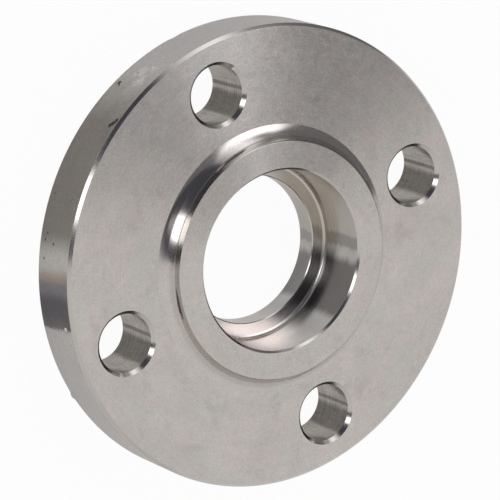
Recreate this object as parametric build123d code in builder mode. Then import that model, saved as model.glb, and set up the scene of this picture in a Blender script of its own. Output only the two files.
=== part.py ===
"""Raised face socket weld flange, NPS 1 1/2, pressure class 150, bored for schedule 40 pipe.

Millimetres. +Z runs along the pipe axis towards the hub, and the origin is the centre of the
gasket face, on which the flange lies. One bolt hole sits at 45 degrees between +X and +Y, so
the four straddle the centre lines as they do on an installed flange.
"""

import os
from math import isclose

from build123d import *

# The pipe that the flange is welded to
pipe_outside_diameter = 48.3
pipe_wall = 3.7
socket_clearance = 1.2

# Heights, from the gasket face up
raised_face_height = 1.6
disc_thickness = 15.9
hub_projection = 4.5
hub_land = 0.5
socket_depth = 16.0

# Radial distances, from the pipe outwards
hub_wall = 7.75
gasket_face_width = 16.05
hub_to_bolt = 16.7
bolt_to_rim = 14.3

# Bolting
bolt_count = 4
bolt_hole_diameter = 15.9
first_bolt_angle = 45

# Edge breaks and corner radii
rim_front_chamfer = 0.8
rim_back_chamfer = 0.3
hub_edge_chamfer = 0.2
socket_mouth_chamfer = 0.6
socket_corner_radius = 1.2
bore_lip_chamfer = 0.25
raised_face_chamfer = 0.3
raised_face_root_radius = 0.5
bolt_hole_front_chamfer = 0.95
bolt_hole_back_chamfer = 0.5

# The socket takes the pipe's outside, the bore continues its inside
socket_radius = (pipe_outside_diameter + socket_clearance) / 2
bore_radius = pipe_outside_diameter / 2 - pipe_wall

# Each ring outside the pipe is built up from the one within it
hub_radius = socket_radius + hub_wall
raised_face_radius = bore_radius + gasket_face_width
bolt_circle_radius = hub_radius + hub_to_bolt
rim_radius = bolt_circle_radius + bolt_to_rim
bolt_hole_radius = bolt_hole_diameter / 2

gasket_face = 0
disc_back = gasket_face + raised_face_height
disc_front = disc_back + disc_thickness
hub_top = disc_front + hub_projection
socket_floor = hub_top - socket_depth

# The root sweeps up the hub and leaves a short straight land under the top edge
hub_root_radius = hub_projection - hub_land

# How closely an edge has to match the radius and height that it is looked up by
match = 0.001


def ring_edges(radius, height):
    """Circular edges of the flange that have this radius and lie at this height."""
    level = flange.edges().filter_by(GeomType.CIRCLE).filter_by_position(Axis.Z, height - match, height + match)
    return level.filter_by(lambda edge: isclose(edge.radius, radius, abs_tol=match))


with BuildPart() as flange:
    # Half section of the blank: raised face, disc and hub in one turning
    with BuildSketch(Plane.XZ):
        with BuildLine():
            Polyline(
                (0, gasket_face),
                (raised_face_radius, gasket_face),
                (raised_face_radius, disc_back),
                (rim_radius, disc_back),
                (rim_radius, disc_front),
                (hub_radius, disc_front),
                (hub_radius, hub_top),
                (0, hub_top),
                close=True,
            )
        make_face()
    revolve(axis=Axis.Z)

    # Pipe socket from the hub side, with the bore carrying on through the gasket face
    with Locations((0, 0, hub_top)):
        CounterBoreHole(bore_radius, socket_radius, socket_depth)

    # Bolt holes
    with PolarLocations(bolt_circle_radius, bolt_count, first_bolt_angle):
        Hole(bolt_hole_radius)

    # Turned corners: the hub's root, the socket's floor and the step behind the gasket face
    fillet(ring_edges(hub_radius, disc_front), hub_root_radius)
    fillet(ring_edges(socket_radius, socket_floor), socket_corner_radius)
    fillet(ring_edges(raised_face_radius, disc_back), raised_face_root_radius)

    # Edge breaks on the turned steps
    chamfer(ring_edges(rim_radius, disc_front), rim_front_chamfer)
    chamfer(ring_edges(rim_radius, disc_back), rim_back_chamfer)
    chamfer(ring_edges(hub_radius, hub_top), hub_edge_chamfer)
    chamfer(ring_edges(socket_radius, hub_top), socket_mouth_chamfer)
    chamfer(ring_edges(bore_radius, socket_floor), bore_lip_chamfer)
    chamfer(ring_edges(raised_face_radius, gasket_face), raised_face_chamfer)

    # Bolt holes countersunk in front, where the nuts sit, and deburred behind
    chamfer(ring_edges(bolt_hole_radius, disc_front), bolt_hole_front_chamfer)
    chamfer(ring_edges(bolt_hole_radius, disc_back), bolt_hole_back_chamfer)

flange.part.label = "flange"

os.makedirs("parts", exist_ok=True)
export_step(flange.part, "parts/flange.step")
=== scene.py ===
"""Studio scene of a raised face socket weld flange in turned stainless steel, lying on its gasket face."""
import math
from collections import namedtuple

import bmesh
import bpy
from mathutils import Matrix, Vector


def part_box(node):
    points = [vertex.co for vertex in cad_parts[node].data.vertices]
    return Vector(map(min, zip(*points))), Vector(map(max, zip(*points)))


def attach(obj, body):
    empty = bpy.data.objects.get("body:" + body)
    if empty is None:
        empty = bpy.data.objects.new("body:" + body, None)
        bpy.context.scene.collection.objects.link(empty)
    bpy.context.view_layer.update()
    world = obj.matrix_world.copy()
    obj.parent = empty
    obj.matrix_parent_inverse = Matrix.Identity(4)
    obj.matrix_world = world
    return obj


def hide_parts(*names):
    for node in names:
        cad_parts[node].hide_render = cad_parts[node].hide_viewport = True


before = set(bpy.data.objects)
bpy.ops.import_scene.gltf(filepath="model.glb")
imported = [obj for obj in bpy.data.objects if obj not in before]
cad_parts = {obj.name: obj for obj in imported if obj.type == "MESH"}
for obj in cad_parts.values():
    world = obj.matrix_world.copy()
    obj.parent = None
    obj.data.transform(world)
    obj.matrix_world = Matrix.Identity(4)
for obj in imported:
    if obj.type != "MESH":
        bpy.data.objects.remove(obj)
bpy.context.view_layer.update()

MM = 0.001

# Camera: the aim point lies on the disc's front face
AIM = Vector((0.298, -8.100, 17.5)) * MM
CAMERA_DISTANCE = 888.63 * MM
CAMERA_AZIMUTH = math.radians(-88.583)
CAMERA_ELEVATION = math.radians(54.709)
CAMERA_ROLL = math.radians(-109.018)
LENS = 239.45
CLIP_START = 50 * MM
CLIP_END = 20000 * MM

# Sizes in millimetres, the outermost ones taken from the solid itself
_, high_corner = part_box("flange")
RIM_RADIUS = high_corner.x / MM
HUB_TOP = high_corner.z / MM
BORE_RADIUS = 20.45
SOCKET_RADIUS = 24.75
HUB_RADIUS = 32.5
RAISED_FACE_RADIUS = 36.5
BOLT_CIRCLE_RADIUS = 49.2
BOLT_HOLE_RADIUS = 7.95
BOLT_ANGLES = (45, 135, 225, 315)
DISC_BACK = 1.6
DISC_FRONT = 17.5
SOCKET_FLOOR = 6.0

# Edge breaks and corner radii
RIM_FRONT_CHAMFER = 0.8
RIM_BACK_CHAMFER = 0.3
HUB_EDGE_RADIUS = 0.12
MOUTH_CHAMFER = 0.6
SOCKET_CORNER_RADIUS = 1.2
BORE_LIP_CHAMFER = 0.25
RAISED_FACE_CHAMFER = 0.3
RAISED_FACE_ROOT_RADIUS = 0.5
HOLE_FRONT_CHAMFER = 0.95
HOLE_BACK_CHAMFER = 0.5
BURNISHED_EDGE = 0.08

# A direction at 45 degrees goes this much along each of the two axes
DIAGONAL = math.sqrt(0.5)

# Hub root: one arc in the corner where the hub's side would meet the face
ROOT_FOOT_RADIUS = 36.45
ROOT_CORNER_RADIUS = 33.06
ROOT_CORNER_HEIGHT = 18.48
ROOT_ARC_RADIUS = 5.4

# Gasket face serrations, cut by a round-nosed tool
GROOVE_PITCH = 0.8
TOOL_NOSE_RADIUS = 1.6

# Marks on the rim: degrees round it, height, half width, and how deep it goes (or how far it stands out)
Mark = namedtuple("Mark", "azimuth height size depth", defaults=[0.0])
EDGE_NICK = Mark(-107.2, 15.5, 0.8, 0.26)
EDGE_NICK_MIDDLE = Mark(-106.4, 14.8, 0.85, 0.26)
EDGE_NICK_TAIL = Mark(-105.7, 14.1, 0.8, 0.26)
LOWER_NICK = Mark(-117.0, 3.9, 0.7, 0.22)
LOWER_NICK_TAIL = Mark(-116.3, 4.8, 0.4, 0.12)
STAIN_NICK = Mark(-54.7, 13.6, 0.6, 0.20)
STAIN_FOOT = Mark(-52.6, 11.0, 0.5, 0.12)
PIT_HIGH = Mark(-74.6, 8.6, 0.45, 0.12)
PIT_LEFT = Mark(-76.6, 4.9, 0.40, 0.10)
PIT_MIDDLE = Mark(-75.0, 4.2, 0.45, 0.12)
PIT_RIGHT = Mark(-70.6, 4.4, 0.40, 0.10)
PIT_ALONE = Mark(-86.2, 4.0, 0.35, 0.08)
PIT_SMALL = Mark(-121.2, 7.4, 0.35, 0.08)
BURR = Mark(-33.4, 1.9, 0.9, -0.45)
CORNER_DENT = Mark(-136.0, 2.0, 1.4, 0.16)
NICKS = (EDGE_NICK, EDGE_NICK_MIDDLE, EDGE_NICK_TAIL, LOWER_NICK, LOWER_NICK_TAIL)
PITS = (PIT_HIGH, PIT_LEFT, PIT_MIDDLE, PIT_RIGHT, PIT_ALONE, PIT_SMALL)
DENTS = NICKS + PITS + (STAIN_NICK, STAIN_FOOT, BURR, CORNER_DENT)

# Marks with no depth: a pale smear in three dabs, and specks of bare steel painted near white as glints
SMEAR_HIGH = Mark(-119.0, 11.5, 2.0)
SMEAR_LOW = Mark(-121.6, 8.3, 2.2)
SMEAR_END = Mark(-123.5, 11.8, 1.2)
PALE_SMEARS = (SMEAR_HIGH, SMEAR_LOW, SMEAR_END)
SPECK_BY_SMEAR = Mark(-123.9, 10.7, 0.28)
SPECK_AT_EDGE = Mark(-126.4, 16.2, 0.32)
SPECK_MIDDLE = Mark(-127.8, 10.0, 0.25)
SPECK_FAR = Mark(-137.9, 3.6, 0.25)
BRIGHT_SPECKS = (SPECK_BY_SMEAR, SPECK_AT_EDGE, SPECK_MIDDLE, SPECK_FAR, STAIN_NICK)

# In a mark's half widths: how far a dent reaches, how far its colour is full and where it is gone
DENT_REACH = 2.5
SPOT_FULL = 0.7
SPOT_GONE = 1.1
SPOT_GRAIN = 1.5

# Mesh fineness
TURNED_SEGMENTS = 480
HOLE_SEGMENTS = 96
RIM_BANDS = 20
ARC_STEP = math.radians(7.5)
EDGE_ARC_STEP = math.radians(23)
WIDEST_EDGE_RADIUS = 0.2
SAME_POINT = 1e-6


# Camera

def place_camera():
    level = Vector((math.cos(CAMERA_AZIMUTH), math.sin(CAMERA_AZIMUTH), 0))
    back = level * math.cos(CAMERA_ELEVATION) + Vector((0, 0, math.sin(CAMERA_ELEVATION)))
    level_right = Vector((0, 0, 1)).cross(back).normalized()
    level_up = back.cross(level_right)
    up = level_up * math.cos(CAMERA_ROLL) + level_right * math.sin(CAMERA_ROLL)
    right = up.cross(back)
    camera = bpy.data.objects.new("camera", bpy.data.cameras.new("camera"))
    bpy.context.scene.collection.objects.link(camera)
    turn = Matrix((right, up, back)).transposed().to_4x4()
    camera.matrix_world = Matrix.Translation(AIM + back * CAMERA_DISTANCE) @ turn
    camera.data.lens = LENS
    camera.data.clip_start = CLIP_START
    camera.data.clip_end = CLIP_END
    bpy.context.scene.camera = camera


# Shader building

def rgb(red, green, blue):
    return (red, green, blue, 1.0)


def towards(azimuth, elevation=0.0):
    around = math.radians(azimuth)
    above = math.radians(elevation)
    level = math.cos(above)
    return Vector((math.cos(around) * level, math.sin(around) * level, math.sin(above)))


def rim_point(mark):
    return towards(mark.azimuth) * RIM_RADIUS + Vector((0, 0, mark.height))


class Graph:
    """A short way to write the nodes of one material or world."""

    def __init__(self, owner):
        owner.use_nodes = True
        self.nodes = owner.node_tree.nodes
        self.links = owner.node_tree.links
        self.nodes.clear()

    def put(self, socket, value):
        if isinstance(value, bpy.types.NodeSocket):
            self.links.new(value, socket)
        elif socket.type == "VECTOR":
            socket.default_value = value[:3]
        else:
            socket.default_value = value

    def node(self, kind, inputs=(), **settings):
        made = self.nodes.new(kind)
        for name, value in settings.items():
            setattr(made, name, value)
        for key, value in dict(inputs).items():
            self.put(made.inputs[key], value)
        return made

    def math(self, operation, first, second=0.0, third=0.0):
        made = self.node("ShaderNodeMath", operation=operation)
        for socket, value in zip(made.inputs, (first, second, third)):
            self.put(socket, value)
        return made.outputs[0]

    def both(self, first, second):
        """first times second, two numbers."""
        return self.math("MULTIPLY", first, second)

    def vector(self, operation, first, second=(0.0, 0.0, 0.0)):
        made = self.node("ShaderNodeVectorMath", operation=operation)
        self.put(made.inputs[0], first)
        self.put(made.inputs[1], second)
        gives_number = operation in ("LENGTH", "DISTANCE", "DOT_PRODUCT")
        return made.outputs["Value" if gives_number else "Vector"]

    def combine(self, x, y, z):
        return self.node("ShaderNodeCombineXYZ", {0: x, 1: y, 2: z}).outputs[0]

    def separate(self, vector):
        return self.node("ShaderNodeSeparateXYZ", {0: vector}).outputs

    def step(self, value, start, end, low=0.0, high=1.0):
        """Runs smoothly from low at start to high at end."""
        inputs = {"Value": value, "From Min": start, "From Max": end, "To Min": low, "To Max": high}
        return self.node("ShaderNodeMapRange", inputs, interpolation_type="SMOOTHSTEP").outputs[0]

    def fall(self, value, start, end):
        """Runs smoothly from 1 at start to 0 at end."""
        return self.step(value, start, end, low=1.0, high=0.0)

    def band(self, value, start, end, soft):
        """1 between start and end, with edges this soft."""
        rise = self.step(value, start - soft, start + soft)
        return self.both(rise, self.fall(value, end - soft, end + soft))

    def beside(self, level, azimuth, width, soft):
        """1 where the level direction is within half of width of azimuth, in degrees."""
        cosine = self.vector("DOT_PRODUCT", level, towards(azimuth))
        off = self.math("DEGREES", self.math("ARCCOSINE", cosine))
        return self.fall(off, width / 2 - soft, width / 2 + soft)

    def noise(self, vector, scale=1.0, detail=2.0, roughness=0.5):
        inputs = {"Vector": vector, "Scale": scale, "Detail": detail, "Roughness": roughness}
        return self.node("ShaderNodeTexNoise", inputs).outputs["Fac"]

    def sway(self, value, noise, amount):
        """value, moved by up to half of amount either way as the noise goes."""
        return self.math("MULTIPLY_ADD", self.math("SUBTRACT", noise, 0.5), amount, value)

    def about(self, value, noise, amount):
        """value, made more or less of by a share that follows the noise."""
        return self.both(self.sway(1.0, noise, amount), value)

    def tint(self, share, first, second):
        made = self.node("ShaderNodeMix", {"Factor": share}, data_type="RGBA")
        self.put(made.inputs["A"], first)
        self.put(made.inputs["B"], second)
        return made.outputs["Result"]

    def shade(self, color, amount):
        """color times amount, a number."""
        return self.vector("MULTIPLY", color, self.combine(amount, amount, amount))


# Steel

class Steel(Graph):
    """Turned stainless steel. Everything is measured in millimetres on the part."""

    def __init__(self, name):
        self.material = bpy.data.materials.new(name)
        super().__init__(self.material)
        place = self.node("ShaderNodeTexCoord").outputs["Object"]
        self.place = self.vector("MULTIPLY", place, (1 / MM, 1 / MM, 1 / MM))
        self.x, self.y, self.z = self.separate(self.place)
        level = self.combine(self.x, self.y, 0.0)
        self.radius = self.vector("LENGTH", level)
        self.around = self.vector("NORMALIZE", level)
        self.angle = self.math("DEGREES", self.math("ARCTAN2", self.y, self.x))

    def aside(self, *shift):
        """The place moved by shift, so that noises don't repeat one another."""
        return self.vector("ADD", self.place, shift)

    def stretched(self, across, along):
        """The place scaled by one factor across the axis and by another along it."""
        return self.vector("MULTIPLY", self.place, (across, across, along))

    def marks(self, along, pitch, streaks, detail=2.0):
        """Tool marks that run round the axis.

        along counts the millimetres across them, and streaks says how often they break."""
        x, y, _ = self.separate(self.around)
        vector = self.combine(self.math("DIVIDE", along, pitch), self.both(x, streaks), self.both(y, streaks))
        return self.noise(vector, detail=detail)

    def mottle(self, color, *layers):
        """Lightens and darkens the colour by pairs of noise and amount."""
        for noise, amount in layers:
            color = self.shade(color, self.sway(1.0, noise, amount))
        return color

    def spot(self, mark, ragged=0.5):
        """1 within a mark on the rim, with an uneven edge."""
        away = self.vector("DISTANCE", self.place, rim_point(mark))
        uneven = self.noise(self.place, scale=SPOT_GRAIN / mark.size, detail=3.0, roughness=0.6)
        away = self.sway(away, uneven, ragged * mark.size * 2)
        return self.fall(away, mark.size * SPOT_FULL, mark.size * SPOT_GONE)

    def relief(self, *layers):
        """Height in millimetres, added up from pairs of noise and depth."""
        height = 0.0
        for noise, depth in layers:
            height = self.math("MULTIPLY_ADD", noise, depth, height)
        return height

    def finish(self, color, roughness, height, anisotropy=0.0, turn=0.25):
        bump = self.node("ShaderNodeBump", {"Strength": 1.0, "Distance": MM, "Height": height})
        inputs = {"Metallic": 1.0, "Base Color": color, "Roughness": roughness, "Normal": bump.outputs[0]}
        shader = self.node("ShaderNodeBsdfPrincipled", inputs)
        if anisotropy:
            shader.inputs["Anisotropic"].default_value = anisotropy
            shader.inputs["Anisotropic Rotation"].default_value = turn
            tangent = self.node("ShaderNodeTangent", direction_type="RADIAL", axis="Z")
            self.put(shader.inputs["Tangent"], tangent.outputs[0])
        self.node("ShaderNodeOutputMaterial", {0: shader.outputs[0]})
        return self.material


# The facing tool leaves each feed mark leaning outwards
FEED_MARK_SLOPE = 0.06

FACED_PALE = rgb(0.655, 0.620, 0.600)
FACED_ROSY = rgb(0.670, 0.612, 0.600)
FACED_GREENISH = rgb(0.635, 0.622, 0.590)
FACED_TINT = 0.60
SMUDGED = 0.90


def faced_steel():
    """Flat faces: fine arcs from the facing tool under a satin bloom."""
    steel = Steel("steel_faced")
    fine = steel.marks(steel.radius, pitch=0.30, streaks=9.0)
    broad = steel.marks(steel.radius, pitch=2.6, streaks=3.0)
    grain = steel.noise(steel.place, scale=2.2, detail=3.0, roughness=0.65)
    bloom = steel.noise(steel.place, scale=0.55, detail=3.0, roughness=0.6)
    cloud = steel.noise(steel.place, scale=0.09, detail=4.0, roughness=0.6)
    hue = steel.noise(steel.aside(40.0, 0.0, 9.0), scale=0.14, detail=4.0, roughness=0.6)
    smudge = steel.noise(steel.aside(3.0, 60.0, 0.0), scale=0.16, detail=5.0, roughness=0.68)
    color = steel.tint(steel.step(hue, start=0.38, end=0.62), FACED_ROSY, FACED_GREENISH)
    color = steel.tint(FACED_TINT, FACED_PALE, color)
    color = steel.mottle(color, (cloud, 0.28), (bloom, 0.12), (grain, 0.42), (fine, 0.10), (broad, 0.08))
    color = steel.shade(color, steel.step(smudge, start=0.52, end=0.72, low=1.0, high=SMUDGED))
    roughness = steel.about(0.19, bloom, 0.3)
    height = steel.relief((steel.radius, -FEED_MARK_SLOPE), (fine, 0.006), (grain, 0.006))
    return steel.finish(color, roughness, height, anisotropy=0.52)


TURNED = rgb(0.650, 0.622, 0.604)


def turned_steel():
    """Finish-turned edges and steps: bright, with only faint tool marks."""
    steel = Steel("steel_turned")
    along = steel.math("SUBTRACT", steel.radius, steel.z)
    fine = steel.marks(along, pitch=0.22, streaks=4.0)
    broad = steel.marks(along, pitch=1.1, streaks=3.0)
    cloud = steel.noise(steel.place, scale=0.12, detail=3.0)
    color = steel.mottle(TURNED, (cloud, 0.14), (broad, 0.12))
    roughness = steel.about(0.17, broad, 0.5)
    return steel.finish(color, roughness, steel.relief((fine, 0.0015)))


ROOT = rgb(0.660, 0.624, 0.606)
ROOT_WARM = rgb(0.625, 0.588, 0.545)


def root_steel():
    """Hub root: one sweep of a form tool, brighter than the faces and warmer towards the top."""
    steel = Steel("steel_root")
    along = steel.math("SUBTRACT", steel.radius, steel.z)
    fine = steel.marks(along, pitch=0.22, streaks=4.0)
    broad = steel.marks(along, pitch=1.1, streaks=3.0)
    grain = steel.noise(steel.place, scale=2.2, detail=3.0, roughness=0.65)
    cloud = steel.noise(steel.place, scale=0.12, detail=3.0)
    color = steel.tint(steel.step(steel.z, start=DISC_FRONT + 1.5, end=HUB_TOP - 0.3), ROOT, ROOT_WARM)
    color = steel.mottle(color, (cloud, 0.14), (grain, 0.50), (broad, 0.10))
    roughness = steel.about(0.15, broad, 0.4)
    return steel.finish(color, roughness, steel.relief((fine, 0.0015)))


BORED = rgb(0.610, 0.592, 0.575)
BORED_WARM = rgb(0.600, 0.560, 0.510)
# Painted bright reflection along part of the walls
BORED_PAINTED_BRIGHT_REFLECTION = rgb(0.740, 0.684, 0.662)
# Painted dark reflections on the socket and bore walls
SOCKET_PAINTED_DARK_REFLECTION = rgb(0.225, 0.213, 0.205)
BORE_PAINTED_DARK_REFLECTION = rgb(0.330, 0.315, 0.310)


def bored_steel():
    """Socket, shoulder and bore: rings left by the boring bar.

    The dark and bright bands along the walls are painted reflections, placed in degrees round the axis."""
    steel = Steel("steel_bored")
    along = steel.math("ADD", steel.radius, steel.z)
    fine = steel.marks(along, pitch=0.25, streaks=3.0)
    broad = steel.marks(along, pitch=1.3, streaks=2.0)
    cloud = steel.noise(steel.place, scale=0.15, detail=3.0)
    uneven = steel.noise(steel.stretched(0.05, 0.5), detail=3.0, roughness=0.6)
    angle = steel.sway(steel.angle, uneven, 7.0)
    color = steel.tint(steel.band(angle, start=112, end=178, soft=6), BORED, BORED_WARM)
    # Painted bright reflection in a band round the axis
    color = steel.tint(steel.band(angle, start=-8, end=46, soft=9), color, BORED_PAINTED_BRIGHT_REFLECTION)
    # Painted dark reflection, only on the walls, in a wide and a narrow band
    painted_dark_reflection = steel.tint(steel.step(steel.radius, start=21.5, end=24.5), BORE_PAINTED_DARK_REFLECTION, SOCKET_PAINTED_DARK_REFLECTION)
    on_shoulder = steel.band(steel.z, start=SOCKET_FLOOR - 0.3, end=SOCKET_FLOOR + 1.0, soft=0.3)
    on_wall = steel.math("SUBTRACT", 1.0, on_shoulder)
    wide_painted_reflection = steel.band(angle, start=68, end=105, soft=3.5)
    narrow_painted_reflection = steel.both(steel.band(angle, start=113, end=121, soft=1.5), 0.55)
    color = steel.tint(steel.both(wide_painted_reflection, on_wall), color, painted_dark_reflection)
    color = steel.tint(steel.both(narrow_painted_reflection, on_wall), color, painted_dark_reflection)
    color = steel.mottle(color, (cloud, 0.18), (broad, 0.16))
    roughness = steel.about(0.22, broad, 0.7)
    return steel.finish(color, roughness, steel.relief((fine, 0.003)))


DRILLED_WARM = rgb(0.590, 0.540, 0.495)
DRILLED_GREY = rgb(0.610, 0.580, 0.550)
# Painted dark reflection in the bolt-hole walls
DRILLED_PAINTED_DARK_REFLECTION = rgb(0.270, 0.248, 0.226)


def drilled_steel():
    """Bolt holes: rings from the drill, deeper and less even than turning.

    The dark bands along the walls are painted reflections, placed in degrees round each hole's own axis."""
    steel = Steel("steel_drilled")
    rings = steel.noise(steel.stretched(0.10, 2.2), detail=4.0, roughness=0.7)
    broad = steel.noise(steel.stretched(0.07, 0.5))
    cloud = steel.noise(steel.place, scale=0.2, detail=3.0)
    scores = steel.noise(steel.stretched(1.6, 0.16), detail=3.0, roughness=0.6)
    to_axis = -BOLT_CIRCLE_RADIUS * DIAGONAL
    from_axis_x = steel.math("MULTIPLY_ADD", steel.math("SIGN", steel.x), to_axis, steel.x)
    from_axis_y = steel.math("MULTIPLY_ADD", steel.math("SIGN", steel.y), to_axis, steel.y)
    angle = steel.math("DEGREES", steel.math("ARCTAN2", from_axis_y, from_axis_x))
    angle = steel.sway(angle, rings, 7.0)
    # Painted dark reflection in a wide and a narrow band round each hole
    wide_painted_reflection = steel.band(angle, start=60, end=109, soft=6)
    narrow_painted_reflection = steel.both(steel.band(angle, start=117.5, end=125, soft=1.5), 0.9)
    color = steel.tint(steel.step(cloud, start=0.35, end=0.65), DRILLED_WARM, DRILLED_GREY)
    color = steel.tint(wide_painted_reflection, color, DRILLED_PAINTED_DARK_REFLECTION)
    color = steel.tint(narrow_painted_reflection, color, DRILLED_PAINTED_DARK_REFLECTION)
    color = steel.mottle(color, (rings, 0.95), (scores, 0.7), (broad, 0.3))
    roughness = steel.about(0.27, rings, 0.6)
    return steel.finish(color, roughness, steel.relief((rings, 0.022)))


# The heat stain's stripes lean this much, in degrees round the rim for each millimetre up
STAIN_LEAN = 0.11
RIM_MIDDLE = (DISC_FRONT + DISC_BACK) / 2

RIM_STEEL = rgb(0.575, 0.550, 0.526)
# Painted dark reflection: the rim's darker stretch stands for the floor's shade reflected in it
RIM_PAINTED_DULL_REFLECTION = rgb(0.270, 0.252, 0.232)
RIM_PAINTED_DULL_REFLECTION_WARM = rgb(0.262, 0.236, 0.205)
RIM_STRAW = rgb(0.420, 0.355, 0.285)
RIM_VIOLET = rgb(0.245, 0.228, 0.248)
RIM_DARK = rgb(0.125, 0.116, 0.128)
RIM_BROWN = rgb(0.165, 0.148, 0.138)
RIM_PALE = rgb(0.690, 0.675, 0.650)
# Painted glint: bare specks brighter than steel could be
RIM_BARE_PAINTED_GLINT = rgb(0.900, 0.890, 0.880)
# Painted shade: near black inside the nicks
RIM_NICK_PAINTED_SHADE = rgb(0.060, 0.058, 0.058)
RIM_PIT = rgb(0.130, 0.105, 0.105)
SMEAR_STRENGTH = 0.75


def rim_steel():
    """Rim: rough-turned, with a stretch of painted dark reflection, a heat stain, small pits left from the
    forging, nicks in painted shade, and specks of bare steel painted as glints.
    """
    steel = Steel("steel_rim")
    fine = steel.marks(steel.z, pitch=0.35, streaks=6.0)
    streaks = steel.marks(steel.z, pitch=0.5, streaks=5.0, detail=4.0)
    grain = steel.noise(steel.place, scale=2.3, detail=4.0, roughness=0.65)
    cloud = steel.noise(steel.place, scale=0.16, detail=4.0, roughness=0.6)
    blotch = steel.noise(steel.aside(7.0, 21.0, 3.0), scale=0.35, detail=4.0, roughness=0.65)
    above_middle = steel.math("SUBTRACT", steel.z, RIM_MIDDLE)
    leaning = steel.math("MULTIPLY_ADD", above_middle, STAIN_LEAN, steel.angle)
    ragged = steel.sway(steel.sway(leaning, grain, 2.4), streaks, 2.4)
    cloudy = steel.sway(steel.angle, cloud, 14.0)
    color = steel.mottle(RIM_STEEL, (cloud, 0.22))

    # Painted dark reflection: a darker stretch round the near side of the rim
    painted_dull_reflection = steel.both(steel.step(cloudy, start=-126, end=-103), steel.fall(leaning, start=-78, end=-71))
    painted_dull_reflection_color = steel.tint(steel.step(blotch, start=0.42, end=0.62), RIM_PAINTED_DULL_REFLECTION, RIM_PAINTED_DULL_REFLECTION_WARM)
    color = steel.tint(painted_dull_reflection, color, steel.mottle(painted_dull_reflection_color, (blotch, 0.5)))

    stain = steel.tint(steel.step(leaning, start=-67.0, end=-64.5), RIM_STRAW, RIM_VIOLET)
    stain = steel.tint(steel.step(ragged, start=-64.0, end=-60.5), stain, RIM_DARK)
    stain = steel.tint(steel.step(ragged, start=-57.8, end=-55.0), stain, RIM_BROWN)
    begun = steel.step(leaning, start=-69.5, end=-66.5)
    stained = steel.both(begun, steel.fall(ragged, start=-54.4, end=-53.4))
    color = steel.tint(stained, color, stain)
    color = steel.mottle(color, (streaks, 0.22))

    for smear in PALE_SMEARS:
        color = steel.tint(steel.both(steel.spot(smear, ragged=1.3), SMEAR_STRENGTH), color, RIM_PALE)
    # Painted shade: the nicks darkened nearly to black
    for nick in NICKS:
        color = steel.tint(steel.spot(nick), color, RIM_NICK_PAINTED_SHADE)
    for pit in PITS:
        color = steel.tint(steel.spot(pit, ragged=1.2), color, RIM_PIT)
    # Painted glints on the specks of bare steel
    for speck in BRIGHT_SPECKS:
        color = steel.tint(steel.spot(speck), color, RIM_BARE_PAINTED_GLINT)
    color = steel.mottle(color, (grain, 0.85))
    roughness = steel.about(0.42, cloud, 0.5)
    return steel.finish(color, roughness, steel.relief((fine, 0.012), (grain, 0.014)))


SERRATED = rgb(0.58, 0.57, 0.55)


def serrated_steel():
    """Gasket face: one round-nosed groove beside the next."""
    steel = Steel("steel_serrated")
    fine = steel.marks(steel.radius, pitch=0.12, streaks=6.0)
    cloud = steel.noise(steel.place, scale=0.12, detail=3.0)
    color = steel.mottle(SERRATED, (cloud, 0.2))
    roughness = steel.about(0.27, cloud, 0.5)
    return steel.finish(color, roughness, steel.relief((fine, 0.0015)))


MATERIALS = {
    "faced": faced_steel,
    "turned": turned_steel,
    "root": root_steel,
    "bored": bored_steel,
    "drilled": drilled_steel,
    "rim": rim_steel,
    "serrated": serrated_steel,
}
SLOT_OF = {finish: slot for slot, finish in enumerate(MATERIALS)}


# Flange

class Surface:
    """Mesh in the making: corners keep the exact normal of the surface that they lie on."""

    def __init__(self):
        self.points = []
        self.faces = []
        self.normals = []
        self.slots = []

    def ring(self, radius, height, segments, centre=(0.0, 0.0)):
        first = len(self.points)
        for index in range(segments):
            angle = 2 * math.pi * index / segments
            x = centre[0] + radius * math.cos(angle)
            y = centre[1] + radius * math.sin(angle)
            self.points.append(Vector((x, y, height)))
        return range(first, first + segments)

    def strip(self, start, end, start_normal, end_normal, finish):
        """Quads from one ring to the next along the outline. Normals are (outwards, up)."""
        count = len(start)
        for index in range(count):
            after = (index + 1) % count
            corners = ((start, index, start_normal), (end, index, end_normal))
            corners += ((end, after, end_normal), (start, after, start_normal))
            self.faces.append([ring[place] for ring, place, _ in corners])
            for _, place, (outwards, up) in corners:
                angle = 2 * math.pi * place / count
                self.normals.append((outwards * math.cos(angle), outwards * math.sin(angle), up))
            self.slots.append(SLOT_OF[finish])

    def pierced(self, outlines, up, finish):
        """A flat face between rings, with a hole in it for each ring that lies inside."""
        flat = bmesh.new()
        places = []
        edges = []
        for outline in outlines:
            corners = [flat.verts.new(self.points[place]) for place in outline]
            places += list(outline)
            edges += [flat.edges.new((corners[i - 1], corners[i])) for i in range(len(corners))]
        flat.verts.index_update()
        bmesh.ops.triangle_fill(flat, use_beauty=True, edges=edges)
        for face in flat.faces:
            corners = [places[corner.index] for corner in face.verts]
            if face.normal.z * up < 0:
                corners.reverse()
            self.faces.append(corners)
            self.normals += [(0.0, 0.0, up)] * len(corners)
            self.slots.append(SLOT_OF[finish])
        flat.free()

    def dent_rim(self):
        """Pushes the nicks into the rim and the burr out of it. Dented corners lose their exact normals."""
        moved = set()
        for mark in DENTS:
            middle = rim_point(mark)
            for place, point in enumerate(self.points):
                away = (point - middle).length / mark.size
                if away < DENT_REACH:
                    outwards = Vector((point.x, point.y, 0)).normalized()
                    self.points[place] = point - outwards * mark.depth * math.exp(-away ** 2)
                    moved.add(place)
        corner = 0
        for face in self.faces:
            for place in face:
                if place in moved:
                    self.normals[corner] = (0.0, 0.0, 0.0)
                corner += 1

    def mesh(self, name):
        made = bpy.data.meshes.new(name)
        made.from_pydata([point * MM for point in self.points], [], self.faces)
        made.polygons.foreach_set("material_index", self.slots)
        made.shade_smooth()
        made.normals_split_custom_set(self.normals)
        return made


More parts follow.
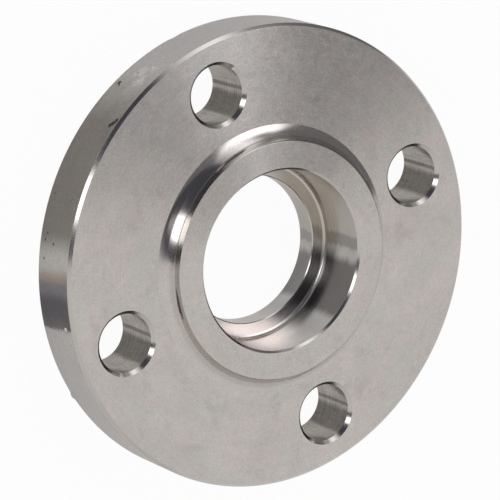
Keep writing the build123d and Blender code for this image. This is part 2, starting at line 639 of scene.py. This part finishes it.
# A corner of the turned outline: where it is, how it is rounded, that arc's finish, and the run after it
Corner = namedtuple("Corner", "radius height rounding finish run")

FINISH_OF_RUN = {
    "hub_face": "faced",
    "front": "faced",
    "back": "faced",
    "rim": "rim",
    "gasket_face": "serrated",
    "bore": "bored",
    "shoulder": "bored",
    "socket": "bored",
    "lip": "turned",
    "mouth": "turned",
    "root": "root",
    "rim_chamfer": "turned",
    "step": "turned",
}


def serrations(start, end):
    """Corners of the grooves from one radius in to the next: crests on the face, arcs between them."""
    half = (start - end) / round((start - end) / GROOVE_PITCH) / 2
    rise = half * math.tan(math.asin(half / TOOL_NOSE_RADIUS))
    corners = []
    radius = start
    while radius > end + half:
        corners.append(Corner(radius, 0.0, 0.0, "serrated", "gasket_face"))
        corners.append(Corner(radius - half, rise, TOOL_NOSE_RADIUS, "serrated", "gasket_face"))
        radius -= 2 * half
    return corners


def flange_outline():
    edge = BURNISHED_EDGE
    mouth_foot = HUB_TOP - MOUTH_CHAMFER
    rim_top = DISC_FRONT - RIM_FRONT_CHAMFER
    rim_foot = DISC_BACK + RIM_BACK_CHAMFER
    lip_foot = SOCKET_FLOOR - BORE_LIP_CHAMFER
    return [
        Corner(SOCKET_RADIUS, mouth_foot, edge, "turned", "mouth"),
        Corner(SOCKET_RADIUS + MOUTH_CHAMFER, HUB_TOP, edge, "turned", "hub_face"),
        Corner(HUB_RADIUS, HUB_TOP, HUB_EDGE_RADIUS, "turned", "root"),
        Corner(ROOT_CORNER_RADIUS, ROOT_CORNER_HEIGHT, ROOT_ARC_RADIUS, "root", "root"),
        Corner(ROOT_FOOT_RADIUS, DISC_FRONT, 0.0, "root", "front"),
        Corner(RIM_RADIUS - RIM_FRONT_CHAMFER, DISC_FRONT, edge, "turned", "rim_chamfer"),
        Corner(RIM_RADIUS, rim_top, edge, "turned", "rim"),
        Corner(RIM_RADIUS, rim_foot, edge, "turned", "rim_chamfer"),
        Corner(RIM_RADIUS - RIM_BACK_CHAMFER, DISC_BACK, edge, "turned", "back"),
        Corner(RAISED_FACE_RADIUS, DISC_BACK, RAISED_FACE_ROOT_RADIUS, "turned", "step"),
        Corner(RAISED_FACE_RADIUS, RAISED_FACE_CHAMFER, edge, "turned", "step"),
        *serrations(RAISED_FACE_RADIUS - RAISED_FACE_CHAMFER, BORE_RADIUS),
        Corner(BORE_RADIUS, 0.0, 0.0, "serrated", "bore"),
        Corner(BORE_RADIUS, lip_foot, edge, "bored", "lip"),
        Corner(BORE_RADIUS + BORE_LIP_CHAMFER, SOCKET_FLOOR, edge, "bored", "shoulder"),
        Corner(SOCKET_RADIUS, SOCKET_FLOOR, SOCKET_CORNER_RADIUS, "bored", "socket"),
    ]


def outline_runs(corners):
    """Straight runs and corner arcs of a closed outline in turn, as (points, normals, run's or arc's name).

    An arc's name is its finish."""
    count = len(corners)
    spots = [Vector((corner.radius, corner.height)) for corner in corners]
    headings = [(spots[(i + 1) % count] - spots[i]).normalized() for i in range(count)]
    arcs = []
    for i, corner in enumerate(corners):
        before = headings[i - 1]
        after = headings[i]
        turn = math.atan2(before.cross(after), before.dot(after))
        start = spots[i] - before * corner.rounding * math.tan(abs(turn) / 2)
        normal = Vector((-before.y, before.x))
        centre = start + normal * corner.rounding * math.copysign(1, turn)
        arc_step = EDGE_ARC_STEP if corner.rounding < WIDEST_EDGE_RADIUS else ARC_STEP
        steps = max(2, math.ceil(abs(turn) / arc_step)) if corner.rounding else 0
        points = []
        normals = []
        for step in range(steps + 1):
            spin = Matrix.Rotation(turn * step / max(steps, 1), 2)
            points.append(centre + spin @ (start - centre))
            normals.append(spin @ normal)
        arcs.append((points, normals))
    runs = []
    for i, corner in enumerate(corners):
        points, normals = arcs[i]
        if len(points) > 1:
            runs.append((points, normals, corner.finish))
        end = arcs[(i + 1) % count][0][0]
        if (end - points[-1]).length > SAME_POINT:
            normal = Vector((-headings[i].y, headings[i].x))
            runs.append(([points[-1], end], [normal, normal], corner.run))
    return runs


def bolt_hole(surface, angle, flats):
    """A through hole with its two chamfers. The metal is outside the hole, so its normals point inwards."""
    centre = (BOLT_CIRCLE_RADIUS * math.cos(angle), BOLT_CIRCLE_RADIUS * math.sin(angle))
    front = surface.ring(BOLT_HOLE_RADIUS + HOLE_FRONT_CHAMFER, DISC_FRONT, HOLE_SEGMENTS, centre)
    upper = surface.ring(BOLT_HOLE_RADIUS, DISC_FRONT - HOLE_FRONT_CHAMFER, HOLE_SEGMENTS, centre)
    lower = surface.ring(BOLT_HOLE_RADIUS, DISC_BACK + HOLE_BACK_CHAMFER, HOLE_SEGMENTS, centre)
    back = surface.ring(BOLT_HOLE_RADIUS + HOLE_BACK_CHAMFER, DISC_BACK, HOLE_SEGMENTS, centre)
    inwards = (-1.0, 0.0)
    inwards_up = (-DIAGONAL, DIAGONAL)
    inwards_down = (-DIAGONAL, -DIAGONAL)
    surface.strip(upper, front, inwards_up, inwards_up, "turned")
    surface.strip(lower, upper, inwards, inwards, "drilled")
    surface.strip(back, lower, inwards_down, inwards_down, "turned")
    flats["front"].append(front)
    flats["back"].append(back)


def build_flange():
    surface = Surface()
    runs = outline_runs(flange_outline())
    rings = []
    for points, _, name in runs:
        if name == "rim":
            top, foot = points
            points[:] = [top.lerp(foot, band / RIM_BANDS) for band in range(RIM_BANDS + 1)]
        rings.append([surface.ring(*point, TURNED_SEGMENTS) for point in points[:-1]])
    flats = {}
    for index, (points, normals, name) in enumerate(runs):
        chain = rings[index] + [rings[(index + 1) % len(runs)][0]]
        if name in ("front", "back"):
            flats[name] = [chain[0], chain[-1]]
            continue
        finish = FINISH_OF_RUN.get(name, name)
        last = len(normals) - 1
        for step in range(len(points) - 1):
            first_normal = normals[min(step, last)]
            second_normal = normals[min(step + 1, last)]
            surface.strip(chain[step], chain[step + 1], first_normal, second_normal, finish)
    for angle in BOLT_ANGLES:
        bolt_hole(surface, math.radians(angle), flats)
    surface.pierced(flats["front"], 1.0, FINISH_OF_RUN["front"])
    surface.pierced(flats["back"], -1.0, FINISH_OF_RUN["back"])
    surface.dent_rim()
    flange = bpy.data.objects.new("flange_turned", surface.mesh("flange_turned"))
    bpy.context.scene.collection.objects.link(flange)
    for make in MATERIALS.values():
        flange.data.materials.append(make())
    return flange


# Floor

WHITE = rgb(1.0, 1.0, 1.0)
FLOOR_SIZE = 6.0
FLOOR_DROP = 0.05 * MM
FLOOR_COLOR = rgb(0.9, 0.9, 0.9)
FLOOR_GLOW = 0.96
FLOOR_GLOW_IN_METAL = 0.40

# A dark cloth on the floor beyond the flange, which only the metal sees
CLOTH_START = 100 * MM
CLOTH_FULL = 160 * MM
CLOTH_AZIMUTH = -155
CLOTH_WIDTH = 190
CLOTH_SOFT = 8
CLOTH = rgb(0.14, 0.138, 0.142)


def build_floor():
    half = FLOOR_SIZE / 2
    corners = [(-half, -half, 0), (half, -half, 0), (half, half, 0), (-half, half, 0)]
    mesh = bpy.data.meshes.new("floor")
    mesh.from_pydata(corners, [], [range(len(corners))])
    floor = bpy.data.objects.new("floor", mesh)
    bpy.context.scene.collection.objects.link(floor)
    floor.location.z = -FLOOR_DROP
    paint = bpy.data.materials.new("floor_white")
    graph = Graph(paint)
    path = graph.node("ShaderNodeLightPath").outputs
    place = graph.node("ShaderNodeTexCoord").outputs["Object"]
    side = graph.beside(graph.vector("NORMALIZE", place), CLOTH_AZIMUTH, CLOTH_WIDTH, CLOTH_SOFT)
    cloth = graph.both(graph.step(graph.vector("LENGTH", place), CLOTH_START, CLOTH_FULL), side)
    in_metal = graph.math("MULTIPLY_ADD", cloth, 1 - FLOOR_GLOW_IN_METAL, FLOOR_GLOW_IN_METAL)
    seen = graph.both(path["Is Camera Ray"], FLOOR_GLOW)
    share = graph.math("MULTIPLY_ADD", path["Is Glossy Ray"], in_metal, seen)
    glow_color = graph.tint(graph.both(cloth, path["Is Glossy Ray"]), WHITE, CLOTH)
    matt = graph.node("ShaderNodeBsdfDiffuse", {"Color": FLOOR_COLOR})
    glow = graph.node("ShaderNodeEmission", {"Color": glow_color, "Strength": 1.0})
    mixed = graph.node("ShaderNodeMixShader", {0: share, 1: matt.outputs[0], 2: glow.outputs[0]})
    graph.node("ShaderNodeOutputMaterial", {0: mixed.outputs[0]})
    floor.data.materials.append(paint)


# Studio: colours are as bright as each part would be seen, directions are (azimuth, elevation) in degrees

WALL_LOW = rgb(0.60, 0.585, 0.57)
WALL_HIGH = rgb(0.72, 0.708, 0.695)
CEILING = rgb(0.165, 0.162, 0.165)
CEILING_EDGE = ((-45, 69.5), (98, 63.4))
WINDOW = rgb(1.83, 1.83, 1.85)
WINDOW_SILL = ((103, 59.75), (150, 42))
WINDOW_HEAD = ((-165, 53.75), (103, 60.5))
GREY_CARD = rgb(0.30, 0.30, 0.30)
DARK_FLAG = rgb(0.060, 0.061, 0.074)
LAMP_REFLECTOR = rgb(0.47, 0.47, 0.48)
LAMP = rgb(2.33, 2.33, 2.33)
BELOW = -90
OVERHEAD = 92


def build_studio_light():
    """A pale room with a leaning window, a strip lamp beside the camera in its reflector, and a dark flag."""
    world = bpy.data.worlds.new("studio")
    bpy.context.scene.world = world
    graph = Graph(world)
    direction = graph.node("ShaderNodeTexCoord").outputs["Generated"]
    x, y, z = graph.separate(direction)
    level = graph.vector("NORMALIZE", graph.combine(x, y, 0.0))
    height = graph.math("DEGREES", graph.math("ARCSINE", z))

    def beyond(line, soft=0.05):
        """1 on the left of the straight edge that runs from the line's first direction to its second."""
        first, second = line
        side = towards(*first).cross(towards(*second)).normalized()
        return graph.step(graph.vector("DOT_PRODUCT", direction, side), -soft, soft)

    def panel(room, color, azimuth, width, low, high, soft=3.0):
        share = graph.both(graph.beside(level, azimuth, width, soft), graph.band(height, low, high, soft))
        return graph.tint(share, room, color)

    walls = graph.tint(graph.step(height, start=7.5, end=37.5), WALL_LOW, WALL_HIGH)
    room = graph.tint(beyond(CEILING_EDGE, soft=0.027), walls, CEILING)
    window = graph.both(beyond(WINDOW_SILL), beyond(WINDOW_HEAD))
    window = graph.both(window, graph.beside(level, azimuth=152.5, width=99, soft=26))
    room = graph.tint(window, room, WINDOW)
    room = panel(room, GREY_CARD, azimuth=177.5, width=19, low=-10, high=32.5, soft=9.5)
    room = panel(room, DARK_FLAG, azimuth=-101.5, width=82, low=BELOW, high=OVERHEAD, soft=1)
    room = panel(room, LAMP_REFLECTOR, azimuth=-87.8, width=15.9, low=BELOW, high=78)
    room = panel(room, LAMP, azimuth=-86.4, width=20.25, low=BELOW, high=46.75, soft=2)
    camera_ray = graph.node("ShaderNodeLightPath").outputs["Is Camera Ray"]
    seen = graph.tint(camera_ray, room, WHITE)
    background = graph.node("ShaderNodeBackground", {"Color": seen, "Strength": 1.0})
    graph.node("ShaderNodeOutputWorld", {0: background.outputs[0]})


place_camera()
flange = build_flange()
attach(flange, "root")
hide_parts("flange")
build_floor()
build_studio_light()
bpy.context.scene.view_settings.view_transform = "Standard"
